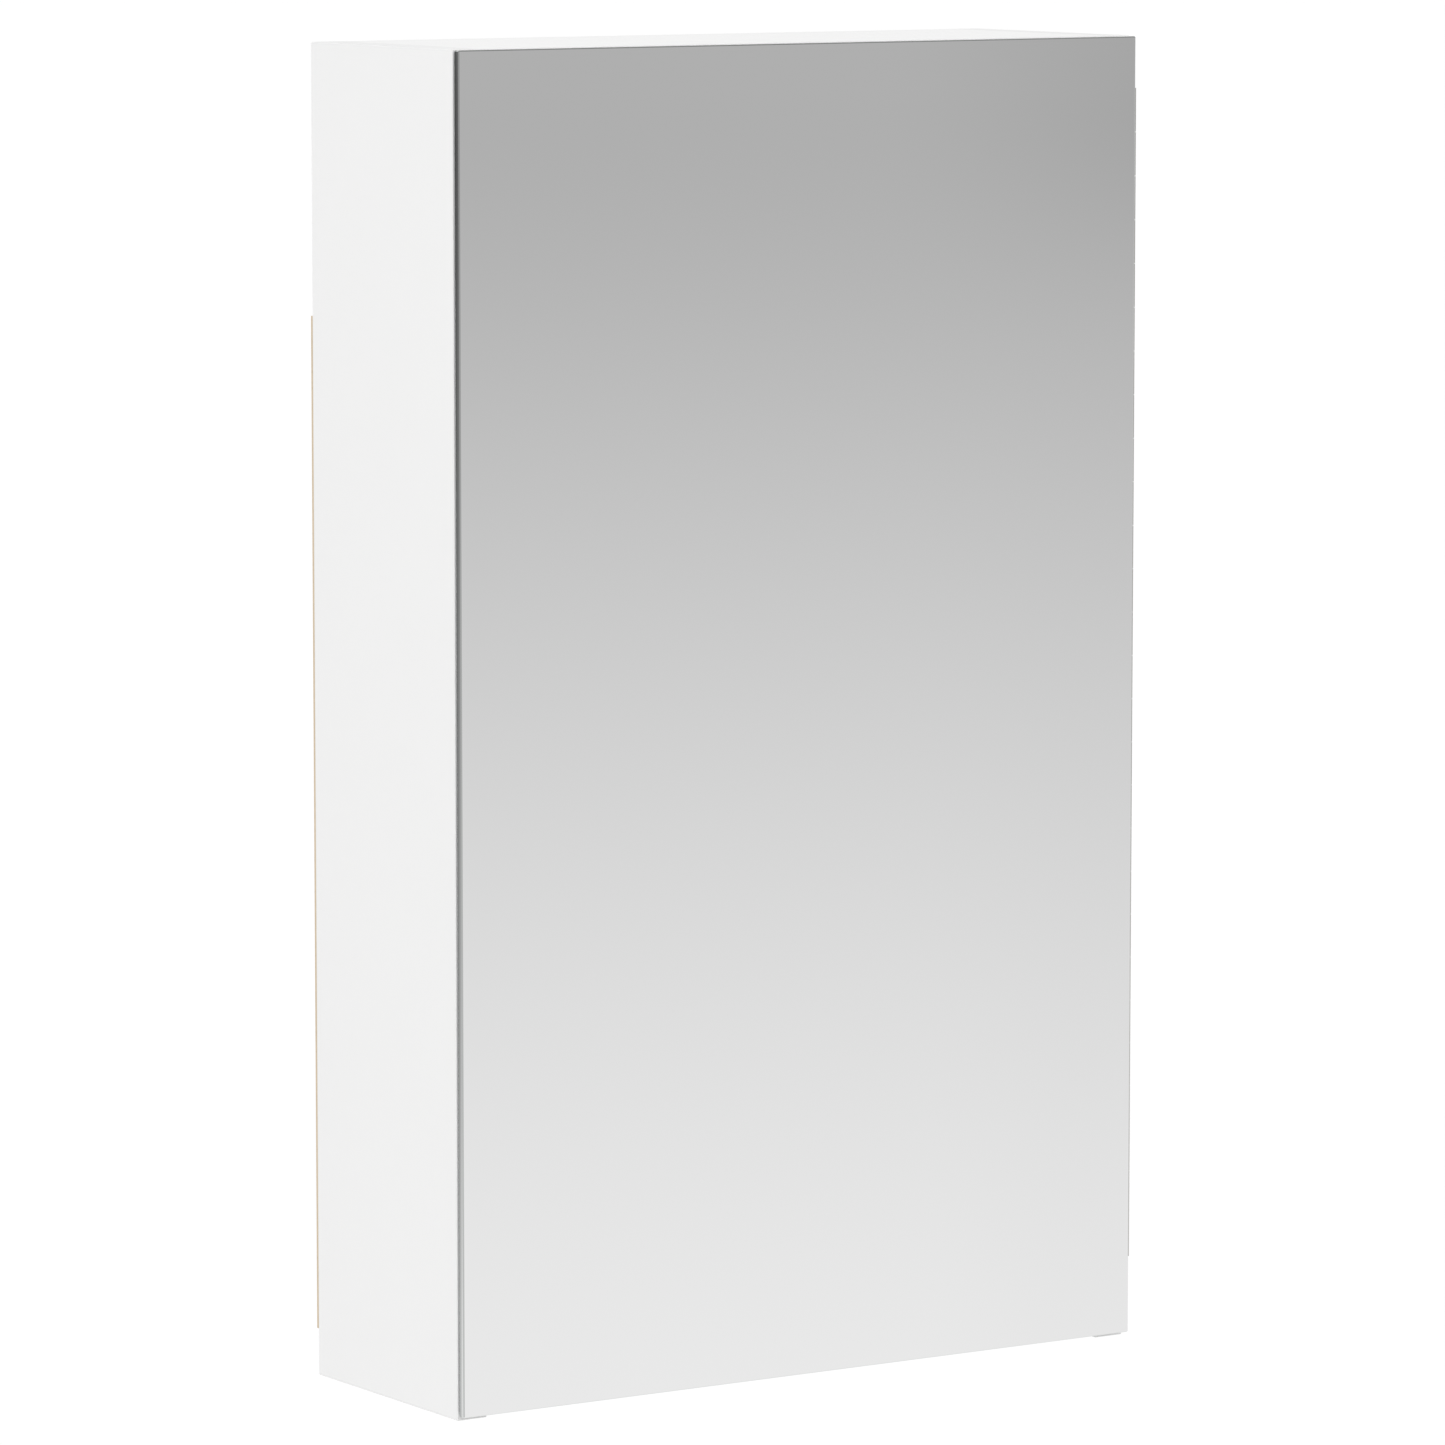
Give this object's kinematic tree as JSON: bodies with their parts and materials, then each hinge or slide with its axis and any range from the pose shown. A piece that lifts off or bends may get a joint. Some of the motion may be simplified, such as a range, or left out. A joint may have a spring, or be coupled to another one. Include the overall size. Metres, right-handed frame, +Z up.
{
  "type": "mirror cabinet",
  "caption": "Tall wall-hung bathroom cabinet whose whole front is a frameless mirror door on a continuous side hinge, with glass shelves and a magnetic catch.",
  "frame": {"origin": "midway between the two wall-screw holes, on the rear plane of the side panels and the mounting rail", "axes": "+X to the right of a person facing the mirror, +Y towards the wall, +Z up"},
  "size_m": [0.3632, 0.1298, 0.602],
  "materials": {
    "white_melamine": "smooth white melamine on chipboard, satin",
    "raw_fibreboard": "white-faced hardboard with raw fibre edges and rear",
    "mirror": "silvered float glass with bevelled polished edges and a painted rear",
    "clear_glass": "clear tempered glass with ground edges",
    "zinc": "bare zinc die casting",
    "beech": "plain turned beech",
    "steel": "nickel-plated steel",
    "white_plastic": "moulded, fine texture",
    "magnet": "pressed ferrite",
    "foam_tape": "double-sided foam tape",
    "clear_rubber": "translucent soft bumper"
  },
  "bodies": {
    "cabinet": {"left_side": "white_melamine", "right_side": "white_melamine", "top_panel": "white_melamine", "bottom_panel": "white_melamine", "mounting_rail": "white_melamine", "back_panel": "raw_fibreboard", "back_panel_nails": "steel", "cam_housings": "zinc", "cam_bolts": "zinc", "wood_dowels": "beech", "glass_shelf_1": "clear_glass", "glass_shelf_2": "clear_glass", "shelf_pins": "steel", "hinge_frame_leaf": "steel", "hinge_pin": "steel", "hinge_frame_screws": "steel", "catch_case": "white_plastic", "catch_magnet": "magnet", "catch_poles": "steel", "catch_screws": "steel", "door_bumpers": "clear_rubber"},
    "door": {"mirror_glass": "mirror", "carrier_board": "white_melamine", "mirror_tapes": "foam_tape", "hinge_door_leaf": "steel", "hinge_door_screws": "steel", "strike_plate": "steel", "strike_screw": "steel"}
  },
  "joints": [
    {"name": "door_hinge", "type": "hinge", "parent": "cabinet", "child": "door", "pos_m": [0.18168, -0.12265, 0], "axis": [0, 0, 1], "range_deg": [0, 180]}
  ]
}
